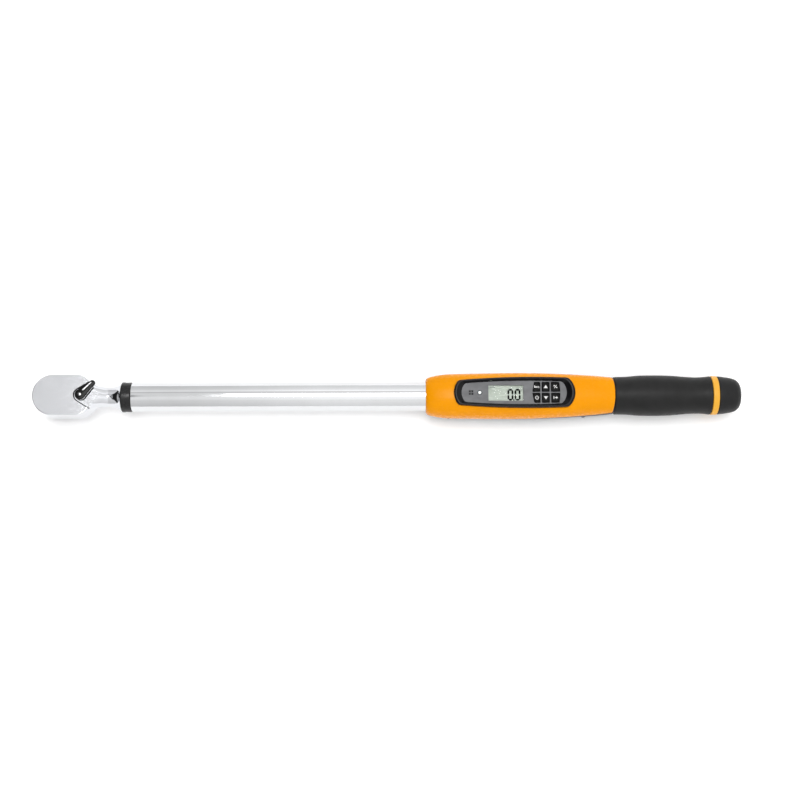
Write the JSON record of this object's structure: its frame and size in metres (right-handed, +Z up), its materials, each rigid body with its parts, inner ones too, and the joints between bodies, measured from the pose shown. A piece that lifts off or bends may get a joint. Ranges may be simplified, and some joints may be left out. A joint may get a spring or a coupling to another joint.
{
  "type": "electronic torque wrench",
  "caption": "Long electronic torque wrench with a reversible ratchet head, square drive, steel tube, display housing with keys, rubber grip and screw-on battery cap.",
  "frame": {"origin": "where the axis of the drive square meets the square's flat end face", "axes": "+X along the tool from the ratchet head to the battery cap, +Z up out of the display side, the drive square points to -Z"},
  "size_m": [0.6505, 0.042, 0.0457],
  "materials": {
    "chrome": "mirror-polished chrome plate",
    "steel": "machined steel",
    "spring_steel": "dull spring steel",
    "black_steel": "glossy black finish on steel",
    "orange_plastic": "satin moulded orange plastic",
    "trim_orange": "satin moulded yellow-orange plastic",
    "black_plastic": "satin moulded black plastic",
    "bezel_black": "glossy moulded black plastic",
    "grip_rubber": "matt black rubber",
    "key_rubber": "matt black silicone rubber",
    "key_black": "satin black key caps with pale marks",
    "panel_grey": "silver-grey painted face plate",
    "display_glass": "clear window",
    "lcd_green": "pale grey-green liquid crystal display",
    "board_green": "green solder mask",
    "brass": "plain brass",
    "gauge_foil": "amber foil gauge",
    "cable_black": "insulated wire",
    "cell_silver": "plain cell jacket",
    "light_white": "milky white light pipe"
  },
  "bodies": {
    "wrench_body": {"ratchet_head": "chrome", "pawl_pin": "steel", "gear_washer": "steel", "retaining_ring": "spring_steel", "front_collar": "black_plastic", "steel_tube": "chrome", "beam_bush": "brass", "strain_gauge_left": "gauge_foil", "strain_gauge_right": "gauge_foil", "gauge_cable": "cable_black", "upper_housing": "orange_plastic", "lower_housing": "black_plastic", "housing_screw_front_left": "spring_steel", "housing_screw_front_right": "spring_steel", "housing_screw_rear_left": "spring_steel", "housing_screw_rear_right": "spring_steel", "bezel": "bezel_black", "display_panel": "panel_grey", "display_lens": "display_glass", "lcd_module": "lcd_green", "keypad_mat": "key_rubber", "circuit_board": "board_green", "status_light": "light_white", "buzzer": "black_plastic", "grip": "grip_rubber", "trim_ring": "trim_orange", "end_insert": "steel", "battery_sleeve": "black_plastic", "battery_contact": "brass", "battery_lead": "cable_black", "battery_cell_front": "cell_silver", "battery_cell_rear": "cell_silver"},
    "gear": {"drive_gear": "steel", "ball_spring": "spring_steel"},
    "ball": {"drive_ball": "steel"},
    "lever": {"reversing_lever": "black_steel", "lever_plunger": "steel", "plunger_spring": "spring_steel"},
    "pawl_body": {"pawl": "steel"},
    "cap_travel": {"cap_spring": "spring_steel", "cap_seal": "key_rubber"},
    "cap": {"battery_cap": "black_plastic"},
    "key_memory_cap": {"key_memory": "key_black"},
    "key_up_cap": {"key_up": "key_black"},
    "key_units_cap": {"key_units": "key_black"},
    "key_power_cap": {"key_power": "key_black"},
    "key_down_cap": {"key_down": "key_black"},
    "key_mode_cap": {"key_mode": "key_black"}
  },
  "joints": [
    {"name": "anvil_spin", "type": "hinge", "parent": "wrench_body", "child": "gear", "pos_m": [0, 0, 0.0243], "axis": [0, 0, 1], "continuous": true},
    {"name": "ball_press", "type": "slide", "parent": "gear", "child": "ball", "axis": [0, 1, 0], "range_m": [0, 0.0008], "stiffness_N_per_m": 600, "springref_m": -0.0008},
    {"name": "lever_swing", "type": "hinge", "parent": "wrench_body", "child": "lever", "pos_m": [0.0254, 0, 0.0243], "axis": [0, 0, 1], "range_deg": [-88, 0]},
    {"name": "pawl_rock", "type": "hinge", "parent": "wrench_body", "child": "pawl_body", "pos_m": [0.0173, 0, 0.0243], "axis": [0, 0, 1], "range_deg": [0, 7.2]},
    {"name": "cap_out", "type": "slide", "parent": "wrench_body", "child": "cap_travel", "axis": [1, 0, 0], "range_m": [0, 0.008]},
    {"name": "cap_turn", "type": "hinge", "parent": "cap_travel", "child": "cap", "pos_m": [0.6, 0, 0.0243], "axis": [1, 0, 0], "range_deg": [0, 1440]},
    {"name": "key_memory_press", "type": "slide", "parent": "wrench_body", "child": "key_memory_cap", "axis": [0, 0, -1], "range_m": [0, 0.0006], "stiffness_N_per_m": 500, "springref_m": -0.0004},
    {"name": "key_up_press", "type": "slide", "parent": "wrench_body", "child": "key_up_cap", "axis": [0, 0, -1], "range_m": [0, 0.0006], "stiffness_N_per_m": 500, "springref_m": -0.0004},
    {"name": "key_units_press", "type": "slide", "parent": "wrench_body", "child": "key_units_cap", "axis": [0, 0, -1], "range_m": [0, 0.0006], "stiffness_N_per_m": 500, "springref_m": -0.0004},
    {"name": "key_power_press", "type": "slide", "parent": "wrench_body", "child": "key_power_cap", "axis": [0, 0, -1], "range_m": [0, 0.0006], "stiffness_N_per_m": 500, "springref_m": -0.0004},
    {"name": "key_down_press", "type": "slide", "parent": "wrench_body", "child": "key_down_cap", "axis": [0, 0, -1], "range_m": [0, 0.0006], "stiffness_N_per_m": 500, "springref_m": -0.0004},
    {"name": "key_mode_press", "type": "slide", "parent": "wrench_body", "child": "key_mode_cap", "axis": [0, 0, -1], "range_m": [0, 0.0006], "stiffness_N_per_m": 500, "springref_m": -0.0004}
  ],
  "couplings": [
    {"joint": "pawl_rock", "follows": "lever_swing", "ratio": -0.0818},
    {"joint": "cap_out", "follows": "cap_turn", "m_per_rad": 0.0003183}
  ]
}
